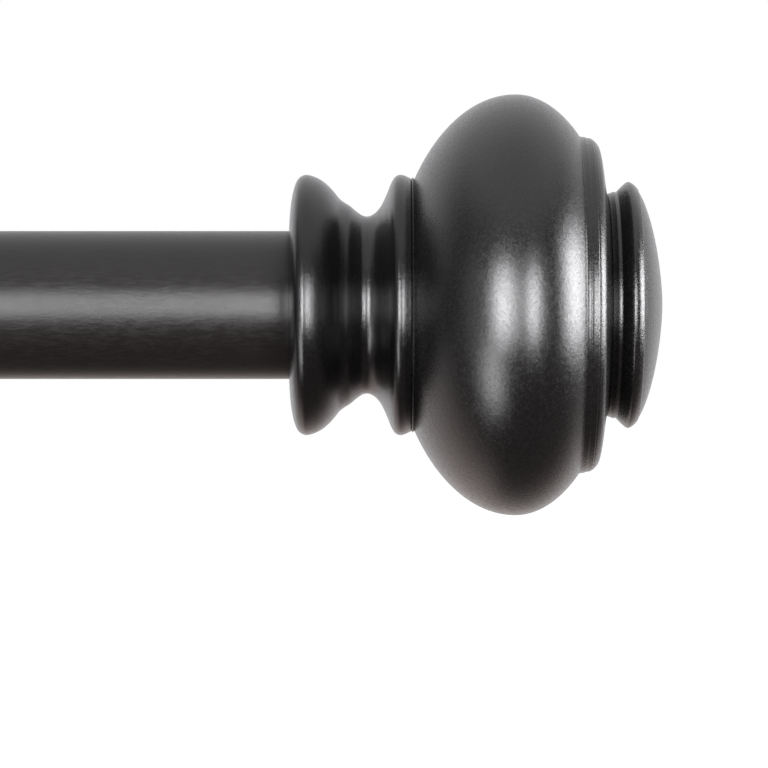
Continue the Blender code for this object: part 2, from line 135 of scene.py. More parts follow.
def combined(tree, operation, first, second, place=(0, 0)):
    node = add_node(tree, "ShaderNodeMath", place, operation=operation)
    for socket, value in zip(node.inputs, (first, second)):
        if isinstance(value, (int, float)):
            socket.default_value = value
        else:
            tree.links.new(value, socket)
    return node.outputs["Value"]


direction = add_node(world_tree, "ShaderNodeTexCoord", (-900, 0)).outputs["Generated"]
split = add_node(world_tree, "ShaderNodeSeparateXYZ", (-700, 0))
world_tree.links.new(direction, split.inputs["Vector"])
DIM = 0.16  # the glow round the camera
below = eased(world_tree, split.outputs["Z"], (-0.1, -0.5), (0, 0.48), (-1100, -300))
not_left = eased(world_tree, split.outputs["X"], (-0.45, -0.05), (0, 1), (-1100, -500))
shade = combined(world_tree, "MULTIPLY", below, not_left, (-900, -400))
shaded = combined(world_tree, "SUBTRACT", split.outputs["Y"], shade, (-700, -300))
behind = eased(world_tree, shaded, (-0.05, 0.6), (DIM, 1.0), (-500, 100))
overhead = eased(world_tree, split.outputs["Z"], (0.38, 0.8), (DIM, 1.15), (-500, -200))
tint = add_node(world_tree, "ShaderNodeMix", (-300, -500), data_type="RGBA")
WARM_BELOW = (1.0, 0.86, 0.82, 1)
PLAIN_ABOVE = (0.98, 0.98, 1.0, 1)
tint.inputs["A"].default_value = WARM_BELOW
tint.inputs["B"].default_value = PLAIN_ABOVE
upper = eased(world_tree, split.outputs["Z"], (-0.6, 0.0), (0, 1), (-500, -500))
world_tree.links.new(upper, tint.inputs["Factor"])
glow = add_node(world_tree, "ShaderNodeBackground", (-100, 0))
world_tree.links.new(tint.outputs["Result"], glow.inputs["Color"])
strength = combined(world_tree, "MAXIMUM", behind, overhead, (-300, 0))
world_tree.links.new(strength, glow.inputs["Strength"])
backdrop = add_node(world_tree, "ShaderNodeBackground", (-100, -200))
backdrop.inputs["Color"].default_value = (1, 1, 1, 1)
seen = add_node(world_tree, "ShaderNodeLightPath", (-100, 300)).outputs["Is Camera Ray"]
choose = add_node(world_tree, "ShaderNodeMixShader", (150, 0))
world_tree.links.new(seen, choose.inputs["Fac"])
world_tree.links.new(glow.outputs["Background"], choose.inputs[1])
world_tree.links.new(backdrop.outputs["Background"], choose.inputs[2])
world_out = add_node(world_tree, "ShaderNodeOutputWorld", (350, 0))
world_tree.links.new(choose.outputs["Shader"], world_out.inputs["Surface"])

# %% Lights
# Each light is named by where it stands, seen from the camera, and faces the bulb. Its size
# comes from the angle that it fills, and its power from how bright its face is.
LIT_POINT = RIGHT_MOUTH + TO_RIGHT * 35 * MM
LIGHT_DISTANCE = 1.1
LIGHT_COLOUR = (0.985, 0.98, 1.0)


def soft_light(name, azimuth, elevation, half_width, half_height, brightness):
    """An area light round the bulb, in degrees. Azimuth 0 is at the camera, 90 to its right."""
    data = bpy.data.lights.new(name, "AREA")
    data.shape = "RECTANGLE"
    data.size = 2 * LIGHT_DISTANCE * tan(radians(half_width))
    data.size_y = 2 * LIGHT_DISTANCE * tan(radians(half_height))
    data.energy = brightness * pi * data.size * data.size_y
    data.color = LIGHT_COLOUR
    light = bpy.data.objects.new(name, data)
    scene.collection.objects.link(light)
    turn, rise = radians(azimuth), radians(elevation)
    away = Vector((sin(turn) * cos(rise), -cos(turn) * cos(rise), sin(rise)))
    light.location = LIT_POINT + away * LIGHT_DISTANCE
    light.rotation_euler = away.to_track_quat("Z", "Y").to_euler()
    light.visible_camera = False
    print(name, round(data.energy, 1), "W")


soft_light("far_left_light", -62, 0, 12, 22, 0.9)
soft_light("front_left_light", -25, -0.5, 11, 16.5, 29)
soft_light("front_middle_light", -3, -1, 5, 18, 7.5)
soft_light("front_right_light", 22, -0.5, 9, 15.5, 29)
soft_light("far_right_light", 40, 0, 9, 16, 3)
soft_light("right_light", 94, 5, 12, 14.5, 23)
soft_light("low_left_light", -46, -36, 11, 14, 9)

# %% Floor
# A pale floor, well below the rod. It is seen, but kept out of reflections and bounced light,
# so the paint shows only the room's glow.
FLOOR_BELOW = 0.75
FLOOR_HALF = 30
floor_mesh = bpy.data.meshes.new("floor")
shape = bmesh.new()
bmesh.ops.create_grid(shape, x_segments=1, y_segments=1, size=FLOOR_HALF)
shape.transform(Matrix.Translation((-0.3, 0, RIGHT_MOUTH.z - FLOOR_BELOW)))
shape.to_mesh(floor_mesh)
shape.free()
floor = bpy.data.objects.new("floor", floor_mesh)
scene.collection.objects.link(floor)
floor.visible_glossy = False
floor.visible_diffuse = False
floor_paint = bpy.data.materials.new("floor_paint")
floor_paint.use_nodes = True
floor_tree = floor_paint.node_tree
floor_shader = floor_tree.nodes["Principled BSDF"]
floor_shader.inputs["Roughness"].default_value = 0.85
floor_shader.inputs["Base Color"].default_value = (0.3, 0.3, 0.3, 1)
floor_shader.inputs["Emission Color"].default_value = (0.8, 0.8, 0.8, 1)
floor_shader.inputs["Emission Strength"].default_value = 0.9
floor_mesh.materials.append(floor_paint)

# %% [markdown]
# ## Finishes
#
# The set is steel under a dark gunmetal paint. On the turned finials the casting's fine pits
# show through: a light on them breaks into grains. The neck has the same paint, but its colours
# are darkened as painted shade for its deep coves, and it is smoother with a weaker sheen than
# the other turned pieces. The drawn tubes have a shallower grain, drawn out along the rod, and
# a duller sheen.
# Screws are zinc plated, and the rings, plugs, sleeve and anchors are plastic.
#
# Each finish is two near colours, a roughness that varies and a bump, all led by one grain. So
# the node group that makes the grain is shared, and each material gives it its own size and
# depth.

# %% Grain group
# Two noises, one coarse and one fine, give a height for the bump, and a mask that leads the
# colour and the roughness.
grain_group = bpy.data.node_groups.new("paint_grain", "ShaderNodeTree")
grain_group.interface.new_socket("Vector", in_out="INPUT", socket_type="NodeSocketVector")
for label in ("Scale", "Fine Share"):
    grain_group.interface.new_socket(label, in_out="INPUT", socket_type="NodeSocketFloat")
for label in ("Height", "Mask"):
    grain_group.interface.new_socket(label, in_out="OUTPUT", socket_type="NodeSocketFloat")
grain_in = add_node(grain_group, "NodeGroupInput", (-900, 0))
grain_out = add_node(grain_group, "NodeGroupOutput", (400, 0))


def grain_noise(place, detail, roughness, scale):
    noise = add_node(grain_group, "ShaderNodeTexNoise", place)
    noise.inputs["Detail"].default_value = detail
    noise.inputs["Roughness"].default_value = roughness
    grain_group.links.new(grain_in.outputs["Vector"], noise.inputs["Vector"])
    grain_group.links.new(scale, noise.inputs["Scale"])
    return noise.outputs["Fac"]


FINE_TO_COARSE = 2.7
fine_scale = combined(
    grain_group, "MULTIPLY", grain_in.outputs["Scale"], FINE_TO_COARSE, (-700, -250)
)
coarse = grain_noise((-500, 200), 2, 0.6, grain_in.outputs["Scale"])
fine = grain_noise((-500, -150), 3, 0.7, fine_scale)
blend = add_node(grain_group, "ShaderNodeMix", (-200, 50), data_type="FLOAT")
grain_group.links.new(grain_in.outputs["Fine Share"], blend.inputs["Factor"])
grain_group.links.new(coarse, blend.inputs["A"])
grain_group.links.new(fine, blend.inputs["B"])
grain_group.links.new(blend.outputs["Result"], grain_out.inputs["Height"])
mask = eased(grain_group, blend.outputs["Result"], (0.4, 0.62), (0, 1), (100, -100))
grain_group.links.new(mask, grain_out.inputs["Mask"])


# %% Painted, plated and moulded surfaces
def finish(name, colours, roughness, grain, bump, metallic=0.0, specular=0.5, stretch=(1, 1, 1)):
    """A surface whose colour, roughness and bump follow one grain pattern.

    colours and roughness are pairs, grain is (scale, fine share), bump is (strength, metres).
    """
    material = bpy.data.materials.new(name)
    material.use_nodes = True
    tree = material.node_tree
    shader = tree.nodes["Principled BSDF"]
    place = add_node(tree, "ShaderNodeTexCoord", (-1200, 0))
    mapping = add_node(tree, "ShaderNodeMapping", (-1000, 0))
    mapping.inputs["Scale"].default_value = stretch
    tree.links.new(place.outputs["Object"], mapping.inputs["Vector"])
    pattern = add_node(tree, "ShaderNodeGroup", (-750, 0), node_tree=grain_group)
    pattern.inputs["Scale"].default_value = grain[0]
    pattern.inputs["Fine Share"].default_value = grain[1]
    tree.links.new(mapping.outputs["Vector"], pattern.inputs["Vector"])
    colour = add_node(tree, "ShaderNodeMix", (-400, 250), data_type="RGBA")
    colour.inputs["A"].default_value = (*colours[0], 1)
    colour.inputs["B"].default_value = (*colours[1], 1)
    tree.links.new(pattern.outputs["Mask"], colour.inputs["Factor"])
    tree.links.new(colour.outputs["Result"], shader.inputs["Base Color"])
    rough = eased(tree, pattern.outputs["Mask"], (0, 1), roughness, (-400, 0))
    tree.links.new(rough, shader.inputs["Roughness"])
    ripple = add_node(tree, "ShaderNodeBump", (-400, -250))
    ripple.inputs["Strength"].default_value = bump[0]
    ripple.inputs["Distance"].default_value = bump[1]
    tree.links.new(pattern.outputs["Height"], ripple.inputs["Height"])
    tree.links.new(ripple.outputs["Normal"], shader.inputs["Normal"])
    shader.inputs["Metallic"].default_value = metallic
    shader.inputs["Specular IOR Level"].default_value = specular
    return material


FINIAL_PAINT = finish(
    "finial_paint",
    ((0.0014, 0.0013, 0.0013), (0.0024, 0.0022, 0.0022)),
    (0.22, 0.29),
    (1500, 0.55),
    (1.0, 0.00006),
)
# The same paint as the finial, with darker colours: painted shade for the neck's coves.
NECK_SHADED_PAINT = finish(
    "neck_shaded_paint",
    ((0.0008, 0.0008, 0.0008), (0.0016, 0.0015, 0.0015)),
    (0.2, 0.27),
    (1500, 0.6),
    (1.0, 0.000055),
    specular=0.42,
)
ROD_PAINT = finish(
    "rod_paint",
    ((0.0026, 0.002, 0.0018), (0.0034, 0.0028, 0.0026)),
    (0.29, 0.35),
    (2000, 0.5),
    (1.0, 0.00002),
    specular=0.44,
    stretch=(0.2, 1, 1),
)
BRACKET_PAINT = finish(
    "bracket_paint",
    ((0.0032, 0.003, 0.003), (0.0055, 0.0052, 0.0052)),
    (0.33, 0.45),
    (1500, 0.4),
    (0.6, 0.00004),
)
KNOB_PAINT = finish(
    "knob_paint",
    ((0.0028, 0.0027, 0.0027), (0.005, 0.0048, 0.0048)),
    (0.3, 0.42),
    (1900, 0.4),
    (0.5, 0.00003),
)
ZINC_STEEL = finish(
    "zinc_steel",
    ((0.3, 0.31, 0.32), (0.42, 0.43, 0.44)),
    (0.24, 0.42),
    (700, 0.5),
    (0.3, 0.00003),
    metallic=1.0,
)
BLACK_PLASTIC = finish(
    "black_plastic",
    ((0.012, 0.012, 0.012), (0.018, 0.018, 0.018)),
    (0.42, 0.58),
    (2400, 0.3),
    (0.4, 0.00002),
)
WHITE_PLASTIC = finish(
    "white_plastic",
    ((0.62, 0.62, 0.6), (0.7, 0.7, 0.68)),
    (0.4, 0.55),
    (1800, 0.3),
    (0.4, 0.00002),
)

# %% [markdown]
# ## Finial
#
# A finial is turned on a lathe, so each piece is one outline spun about the rod's axis. An
# outline can be arcs or a curve drawn through a few points, as a turner's template is. The bulb
# is made of arcs, and the neck of points, because its shoulders are neither round nor straight.


# %% Outlines in millimetres
def through(points, steps=5):
    """A smooth curve through (along, radius) points."""
    curve = []
    last = len(points) - 1
    for i in range(last):
        a, b = Vector(points[max(i - 1, 0)]), Vector(points[i])
        c, d = Vector(points[i + 1]), Vector(points[min(i + 2, last)])
        for s in range(steps):
            t = s / steps
            square = (2 * a - 5 * b + 4 * c - d) * t**2
            cube = (3 * b - a - 3 * c + d) * t**3
            curve.append(tuple(0.5 * (2 * b + (c - a) * t + square + cube)))
    curve.append(tuple(points[-1]))
    return curve


def arc(middle, radii, start, end, steps):
    """(along, radius) points on an ellipse. 180 degrees is its near end, 90 its crest."""
    points = []
    for i in range(steps + 1):
        angle = radians(start + (end - start) * i / steps)
        points.append((middle[0] + radii[0] * cos(angle), middle[1] + radii[1] * sin(angle)))
    return points


def corner(before, point, after, radius, steps=3):
    """Points that round off one corner of an outline."""
    a, p, b = Vector(before), Vector(point), Vector(after)
    start = p + (a - p).normalized() * radius
    end = p + (b - p).normalized() * radius
    points = []
    for i in range(steps + 1):
        t = i / steps
        points.append(tuple(start.lerp(p, t).lerp(p.lerp(end, t), t)))
    return points


def stretch_of(start, end, radius, step):
    """Evenly spaced points along a straight bar, close enough for a thread or a ripple."""
    count = max(1, round((end - start) / step))
    return [(start + (end - start) * i / count, radius) for i in range(count + 1)]


# %% Spinning and finishing a shape
def spin_outline(shape, outline, start, outwards, steps=64):
    """Adds an outline of (along, radius) millimetres, spun about the axis from start."""
    side = UP if abs(outwards.z) < 0.5 else TO_ROOM
    verts = [shape.verts.new(start + outwards * x * MM + side * r * MM) for x, r in outline]
    edges = [shape.edges.new(pair) for pair in zip(verts, verts[1:])]
    if outline[0][1] > 0 or outline[-1][1] > 0:
        edges.append(shape.edges.new((verts[-1], verts[0])))
    bmesh.ops.spin(
        shape,
        geom=verts + edges,
        cent=start,
        axis=outwards,
        angle=2 * pi,
        steps=steps,
        use_merge=True,
    )
    bmesh.ops.remove_doubles(shape, verts=shape.verts, dist=0.002 * MM)
    bmesh.ops.recalc_face_normals(shape, faces=shape.faces)


def finished(name, shape, sharp=32):
    """Writes a shape to an object at the origin, shaded smooth with sharp edges kept."""
    mesh = bpy.data.meshes.new(name)
    shape.to_mesh(mesh)
    shape.free()
    mesh.shade_smooth()
    mesh.set_sharp_from_angle(angle=radians(sharp))
    obj = bpy.data.objects.new(name, mesh)
    scene.collection.objects.link(obj)
    return obj


def turned(name, outline, start, outwards, steps=64, sharp=32):
    shape = bmesh.new()
    spin_outline(shape, outline, start, outwards, steps)
    return finished(name, shape, sharp)


def place_piece(obj, body, material, slot, *nodes):
    """Gives a piece its finish and body, and hides the CAD nodes that it stands for."""
    obj.data.materials.clear()
    obj.data.materials.append(material)
    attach(obj, body)
    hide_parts(*nodes)


# %% Neck
# A soft bead at the mouth, a shoulder that falls without a step, a cove, and a second bead with
# a steep side towards the cove. It falls gently to the bulb.
STUD_HOLE_R = 3.3
NECK_BORE_R = 13.0
NECK_SHAPE = [
    (0, 15.9), (0.1, 17), (0.32, 18.6), (0.7, 20.2), (1.15, 21.3), (1.7, 21.95), (2.5, 22.3),
    (3.2, 22.27), (3.9, 22.08), (4.7, 21.75), (5.5, 21.27), (6.2, 20.72), (6.9, 20.05),
    (7.6, 19.25), (8.4, 18.25), (9.3, 17.55), (10.2, 17.0), (11.2, 16.15), (12.1, 15.5),
    (12.6, 15.28),
    (13.05, 15.2), (13.5, 15.25), (14.0, 15.45), (14.7, 15.95), (15.6, 17.1), (16.5, 19.0),
    (17.2, 20.75), (17.8, 21.8), (18.35, 22.22), (18.9, 22.33), (19.3, 22.28), (19.7, 22.14),
    (20.0, 22.0), (20.3, 21.86), (20.55, 21.74), (20.7, 21.6),
]
NECK_BORE = [(20.7, STUD_HOLE_R), (16.3, STUD_HOLE_R), (16.3, NECK_BORE_R), (0.5, NECK_BORE_R)]
neck_outline = through(NECK_SHAPE) + NECK_BORE
neck_outline += corner((0.5, NECK_BORE_R), (0, 13.4), (0, 15), 0.3)

# %% Bulb
# Parts of two ellipses that meet at the widest place. A thin lip beside the neck catches one
# fine line of light. Inside it is hollow, with a boss at each end round the stud and the tenon.
BULB_MIDDLE = 38.5
BULB_R = 36.05
BULB_LEFT_A = 21.55
BULB_RIGHT_A = 18.3
BULB_LIP = [
    (20.72, STUD_HOLE_R), (20.72, 21.55), (20.78, 21.7), (20.86, 21.82), (20.95, 21.87),
    (21.04, 21.82), (21.12, 21.68), (21.2, 21.6),
]
BULB_HOLLOW = [(49.46, 28.92), (49.46, 4.3), (42.2, 4.3), (42.2, 8), (46.3, 8)]
bulb_outline = BULB_LIP + arc((BULB_MIDDLE, 0), (BULB_LEFT_A, BULB_R), 180 - 37, 90, 56)
bulb_outline += arc((BULB_MIDDLE, 0), (BULB_RIGHT_A, BULB_R), 90, 54.6, 36)[1:]
bulb_outline += [(49.2, 29.18), (49.28, 29.05), (49.36, 28.98)] + BULB_HOLLOW
bulb_outline += arc((BULB_MIDDLE, 0), (BULB_RIGHT_A - 3, BULB_R - 3), 58, 90, 6)
bulb_outline += arc((BULB_MIDDLE, 0), (BULB_LEFT_A - 3, BULB_R - 3), 90, 138, 10)[1:]
bulb_outline += [(24, 8), (34, 8), (34, STUD_HOLE_R)]

# %% Collar
# A thin edge, a band that narrows slightly outwards, then a full curve down to the groove.
COLLAR_EDGE = [
    (49.47, 4.3), (49.47, 28.915), (49.6, 28.87), (49.75, 28.83), (49.9, 28.8), (50.05, 28.79),
    (50.15, 28.8), (50.27, 28.79), (50.36, 28.75), (50.44, 28.69), (50.52, 28.66), (50.6, 28.655),
    (51.0, 28.59), (51.35, 28.53), (51.45, 28.42), (51.52, 28.38), (51.6, 28.37),
]
COLLAR_CURVE = [
    (51.68, 28.33), (51.95, 28.09), (52.3, 27.72), (52.62, 27.22), (52.88, 26.3), (53.12, 24.9),
    (53.38, 23.1), (53.65, 21.3), (53.9, 19.95), (54.1, 19.2),
]
collar_outline = COLLAR_EDGE + through(COLLAR_CURVE) + [(54.1, 4.3)]

# %% Button
# A groove, a steep side, a rounded rim with a fine step, and a dome. A power above a half makes
# the dome more pointed than an ellipse. The tenon behind it reaches into the bulb.
BUTTON_RIM = [
    (54.25, 19.05), (54.6, 19.15), (54.95, 19.28), (55.2, 19.38), (55.4, 19.4), (55.62, 19.37),
    (55.82, 19.41), (56.0, 19.58), (56.3, 19.9), (56.6, 20.2), (56.95, 20.53), (57.25, 20.8),
    (57.55, 21.0), (57.8, 21.1), (58.05, 21.06), (58.3, 20.95), (58.6, 20.76), (58.9, 20.5),
    (59.15, 20.24), (59.35, 20.0),
]
DOME_FROM = 57.2
DOME_LENGTH = 6.55
DOME_R = 21.35
DOME_POWER = 0.66
button_outline = [(42.5, 0), (42.5, 4), (54.13, 4), (54.13, 18.9)] + through(BUTTON_RIM, 4)
button_outline += [(59.42, 19.82)]
for step in range(48):
    u = 0.345 + (1 - 0.345) * sin(pi / 2 * step / 48)
    button_outline.append((DOME_FROM + DOME_LENGTH * u, DOME_R * (1 - u * u) ** DOME_POWER))
button_outline.append((DOME_FROM + DOME_LENGTH, 0))

# %% Make both finials
ENDS = (("right", RIGHT_MOUTH, TO_RIGHT), ("left", LEFT_MOUTH, TO_LEFT))
for side, mouth, outwards in ENDS:
    for piece, outline in (
        ("neck", neck_outline),
        ("bulb", bulb_outline),
        ("collar", collar_outline),
        ("button", button_outline),
    ):
        # The neck gets the darker copy of the paint, as painted shade in its coves.
        paint = NECK_SHADED_PAINT if piece == "neck" else FINIAL_PAINT
        obj = turned(f"{side}_{piece}", outline, mouth, outwards, 192)
        place_piece(obj, f"{side}_finial", paint, "finial_paint", f"finial_{piece}_{side}")
        print(obj.name, len(obj.data.polygons), "faces")

# %% [markdown]
# ## Tubes
#
# A drawn tube is round and straight, with the outer edge of each end eased. The inner tube's
# hidden end carries a plastic ring that guides it, and the outer tube's mouth has another.

# %% Tubes
OUTER_R = 12.7
INNER_R = 11.0
TUBE_WALL = 0.7


def tube_outline(length, radius):
    bore = radius - TUBE_WALL
    points = corner((0, bore), (0, radius), (1, radius), 0.2, 3)
    points += corner((length - 1, radius), (length, radius), (length, bore), 0.2, 3)
    points += [(length, bore), (0, bore)]
    return points


TUBES = (("outer_tube", "outer_rod", OUTER_R), ("inner_tube", "inner_rod", INNER_R))
for name, body, radius in TUBES:
    low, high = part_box(name)
    start = Vector((low.x, RIGHT_MOUTH.y, RIGHT_MOUTH.z))
    length = (high.x - low.x) / MM
    obj = turned("drawn_" + name, tube_outline(length, radius), start, TO_RIGHT, 128)
    print(obj.name, round(length, 1), "mm long")
    place_piece(obj, body, ROD_PAINT, "rod_paint", name)

# %% Plastic rings and plugs
# Each is moulded, with eased edges. The guide ring and the plugs have low ribs. The left neck
# is bored for the thicker tube, so a plain sleeve fills its bore round the thinner one.
low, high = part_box("glide_collar")
start = Vector((low.x, RIGHT_MOUTH.y, RIGHT_MOUTH.z))
INSIDE, OUTSIDE = INNER_R + 0.3, OUTER_R - TUBE_WALL - 0.3
glide_outline = corner((0, INSIDE), (0, OUTER_R), (1.5, OUTER_R), 0.5)
glide_outline += corner((0, OUTER_R), (1.5, OUTER_R), (1.5, OUTSIDE), 0.15)
glide_outline += [(1.5, OUTSIDE), (9.1, OUTSIDE), (9.5, OUTSIDE - 0.3), (9.5, INSIDE)]
glide_outline += [(0.3, INSIDE), (0, INSIDE + 0.3)]
obj = turned("glide_ring", glide_outline, start, TO_RIGHT, 96)
place_piece(obj, "outer_rod", BLACK_PLASTIC, "black_plastic", "glide_collar")

low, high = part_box("guide_ring")
start = Vector((high.x, RIGHT_MOUTH.y, RIGHT_MOUTH.z))
INNER_BORE = INNER_R - TUBE_WALL
guide_outline = corner((0, INNER_BORE), (0, OUTSIDE), (2, OUTSIDE), 0.4)
for rib in range(3):
    guide_outline += [(2.2 + 2.2 * rib, OUTSIDE), (2.5 + 2.2 * rib, OUTSIDE - 0.25)]
    guide_outline += [(3.3 + 2.2 * rib, OUTSIDE - 0.25), (3.6 + 2.2 * rib, OUTSIDE)]
guide_outline += [(9.5, OUTSIDE), (9.5, INSIDE), (1.5, INSIDE), (1.5, INNER_BORE)]
obj = turned("guide_ring_ribbed", guide_outline, start, TO_LEFT, 96)
place_piece(obj, "inner_rod", BLACK_PLASTIC, "black_plastic", "guide_ring")

for side, mouth, outwards in ENDS:
    bore = (OUTER_R if side == "right" else INNER_R) - TUBE_WALL - 0.3
    body = "outer_rod" if side == "right" else "inner_rod"
    plug_outline = [(2, STUD_HOLE_R)]
    plug_outline += corner((2, STUD_HOLE_R), (2, bore), (3, bore), 0.5)
    for rib in range(5):
        plug_outline += [(4 + 2.2 * rib, bore), (4.2 + 2.2 * rib, bore - 0.35)]
        plug_outline += [(5.2 + 2.2 * rib, bore - 0.35), (5.4 + 2.2 * rib, bore)]
    plug_outline += corner((15, bore), (16, bore), (16, STUD_HOLE_R), 0.3)
    plug_outline += [(16, STUD_HOLE_R)]
    obj = turned(f"{side}_plug", plug_outline, mouth, outwards, 64)
    place_piece(obj, body, BLACK_PLASTIC, "black_plastic", f"end_plug_{side}")

sleeve_outline = corner((0.6, INSIDE), (0.6, OUTER_R), (3, OUTER_R), 0.4)
sleeve_outline += [(15.7, OUTER_R), (15.7, INSIDE), (0.9, INSIDE), (0.6, INSIDE + 0.3)]
obj = turned("reducer", sleeve_outline, LEFT_MOUTH, TO_LEFT, 96)
place_piece(obj, "left_finial", BLACK_PLASTIC, "black_plastic", "reducer_sleeve")

# %% [markdown]
# ## Threads, knurls and recesses
#
# A thread could be a swept triangle joined to a core. Moving the points of a finely turned bar
# is simpler and always stays closed: each point goes inwards by how far it is from the crest of
# a helix. A knurl and a cross recess are the same idea with other rules.


# %% Moving points round an axis
def reshape(obj, start, outwards, rule):
    """Moves each point to the radius that rule(along, radius, angle) gives, in millimetres."""
    across = UP if abs(outwards.z) < 0.5 else TO_ROOM
    other = outwards.cross(across)
    for vert in obj.data.vertices:
        offset = vert.co - start
        along = offset.dot(outwards) / MM
        flat = offset - outwards * offset.dot(outwards)
        radius = flat.length / MM
        if radius < 0.01:
            continue
        angle = atan2(flat.dot(other), flat.dot(across))
        vert.co += flat * (rule(along, radius, angle) / radius - 1)


def thread_rule(first, last, crest, pitch, depth):
    """A thread between two places along a bar. It runs out over half a turn at each end."""

    def rule(along, radius, angle):
        if not first < along < last or radius < crest - 0.05:
            return radius
        phase = (along / pitch - angle / (2 * pi)) % 1
        runout = min(1, (along - first) / (pitch / 2), (last - along) / (pitch / 2))
        return radius - depth * (1 - abs(2 * phase - 1)) * runout

    return rule


def cross_rule(recess_r, half_slot):
    """Turns the wall of a round blind hole into a cross."""

    def rule(along, radius, angle):
        if abs(radius - recess_r) > 0.05:
            return radius
        nearest = abs((angle + pi / 4) % (pi / 2) - pi / 4)
        return min(recess_r, half_slot / max(sin(nearest), 0.001))

    return rule


# %% Finial studs
STUD_R = 3.0
STUD_PITCH = 1.0
for side, mouth, outwards in ENDS:
    outline = [(4, 0), (4, STUD_R - 0.6)] + stretch_of(4.6, 32.4, STUD_R, STUD_PITCH / 6)
    outline += [(33, STUD_R - 0.6), (33, 0)]
    obj = turned(f"{side}_stud", outline, mouth, outwards, 40, 50)
    reshape(obj, mouth, outwards, thread_rule(4.7, 32.3, STUD_R, STUD_PITCH, 0.5))
    place_piece(obj, f"{side}_finial_stud", ZINC_STEEL, "zinc_steel", f"finial_stud_{side}")

# %% [markdown]
# ## Brackets
#
# A bracket is a pressed plate, a turned socket on it, an arm that slides in the socket and a
# cradle bolted on the arm. All have a dark paint a little duller than the rod's. The cuts are
# made with fine cutters and baked, so that no live Boolean is left on a piece.


# %% Cutting and joining
def joined(obj, other, operation):
    """Cuts another shape out of an object, or adds it, and bakes the result."""
    change = obj.modifiers.new("change", "BOOLEAN")
    change.operation = operation
    change.solver = "EXACT"
    change.object = other
    graph = bpy.context.evaluated_depsgraph_get()
    mesh = bpy.data.meshes.new_from_object(obj.evaluated_get(graph))
    obj.modifiers.clear()
    obj.data = mesh
    bpy.data.objects.remove(other)
    mesh.shade_smooth()
    mesh.set_sharp_from_angle(angle=radians(32))
    return obj


def soften(obj, width, angle=40):
    """A small live bevel, so that every hard edge catches a thin line of light."""
    bevel = obj.modifiers.new("eased_edges", "BEVEL")
    bevel.width = width * MM
    bevel.segments = 2
    bevel.limit_method = "ANGLE"
    bevel.angle_limit = radians(angle)
    bevel.use_clamp_overlap = True
    return obj


def block(name, size, middle, corners, edge=0.0):
    """An upright plate, its corners round and its front edge eased, in millimetres."""
    shape = bmesh.new()
    bmesh.ops.create_cube(shape, size=1)
    shape.transform(Matrix.Diagonal((*[s * MM for s in size], 1)))
    upright = [e for e in shape.edges if abs(e.verts[0].co.y - e.verts[1].co.y) > size[1] * MM / 2]
    round_off = {"profile": 0.5, "affect": "EDGES", "material": -1}
    bmesh.ops.bevel(shape, geom=upright, offset=corners * MM, segments=14, **round_off)
    front = [e for e in shape.edges if all(v.co.y < 0 for v in e.verts)]
    bmesh.ops.bevel(shape, geom=front, offset=edge * MM, segments=5, **round_off)
    bmesh.ops.translate(shape, vec=middle, verts=shape.verts)
    return finished(name, shape)


# %% Bracket sizes in millimetres
PLATE = (28, 3, 84)
SCREW_Z = 30
SOCKET_END = 48.3
SOCKET_R = 8.6
SOCKET_BASE_R = 12.6
SOCKET_BORE = 6.3
ARM_R = 6.0
ARM_LOCK_Y = 38
PROJECTION = 92
ROD_ABOVE = 20.5
CUP_R = 13.0
CUP_WALL = 2.8
CUP_SIDE = 8.0
CUP_FOOT = 6.7
CUP_WIDTH = 18.0
BOSS_R = 5.0
LOCK_HOLE_R = 2.8
WOOD_SCREW_R = 2.0
WOOD_PITCH = 1.8
BOLT_R = 1.9
BOLT_PITCH = 0.7


# %% Plate, with its screws and anchors
def make_plate(side, middle):
    body = f"{side}_wall_bracket"
    plate = block(f"{side}_plate", PLATE, middle + TO_ROOM * 1.5 * MM, 7, 0.9)
    for height, label in ((SCREW_Z, "upper"), (-SCREW_Z, "lower")):
        front = middle + TO_ROOM * 3 * MM + UP * height * MM
        sink = [(-1, 0), (-1, 4.6), (0, 4.55), (2.3, 2.3), (5, 2.3), (5, 0)]
        joined(plate, turned("sink", sink, front, TO_WALL, 48), "DIFFERENCE")
        make_wall_screw(f"{side}_{label}", body, front)
    soften(plate, 0.12)
    place_piece(plate, body, BRACKET_PAINT, "bracket_paint", f"wall_plate_{side}")


def make_wall_screw(label, body, front):
    """A countersunk wood screw with a cross recess, in a ribbed plastic anchor."""
    outline = [(1.7, 0), (1.5, 0.9), (0.15, 2.3)]
    outline += corner((0.15, 3), (0.12, 4.2), (0.4, 4.1), 0.12)
    outline += [(2.1, 2.1), (3, WOOD_SCREW_R)] + stretch_of(3.2, 33.5, WOOD_SCREW_R, 0.3)
    outline += [(36, 1.1), (38.1, 0.05), (38.1, 0)]
    screw = turned(f"screw_{label}", outline, front, TO_WALL, 48, 50)
    reshape(screw, front, TO_WALL, cross_rule(2.3, 0.55))
    reshape(screw, front, TO_WALL, thread_rule(3.3, 35.5, WOOD_SCREW_R, WOOD_PITCH, 0.65))
    place_piece(screw, body, ZINC_STEEL, "zinc_steel", f"wall_screw_{label}")
    outline = [(5.2, 2.3), (5.2, 3.6), (5.5, 4.0), (7, 4.0)]
    for rib in range(9):
        outline += [(7.4 + 2.1 * rib, 3.4), (9.0 + 2.1 * rib, 4.0)]
    outline += [(27.2, 4.0), (35.2, 3.0), (35.2, 2.3)]
    anchor = turned(f"anchor_{label}", outline, front, TO_WALL, 48, 50)
    place_piece(anchor, body, WHITE_PLASTIC, "white_plastic", f"wall_anchor_{label}")


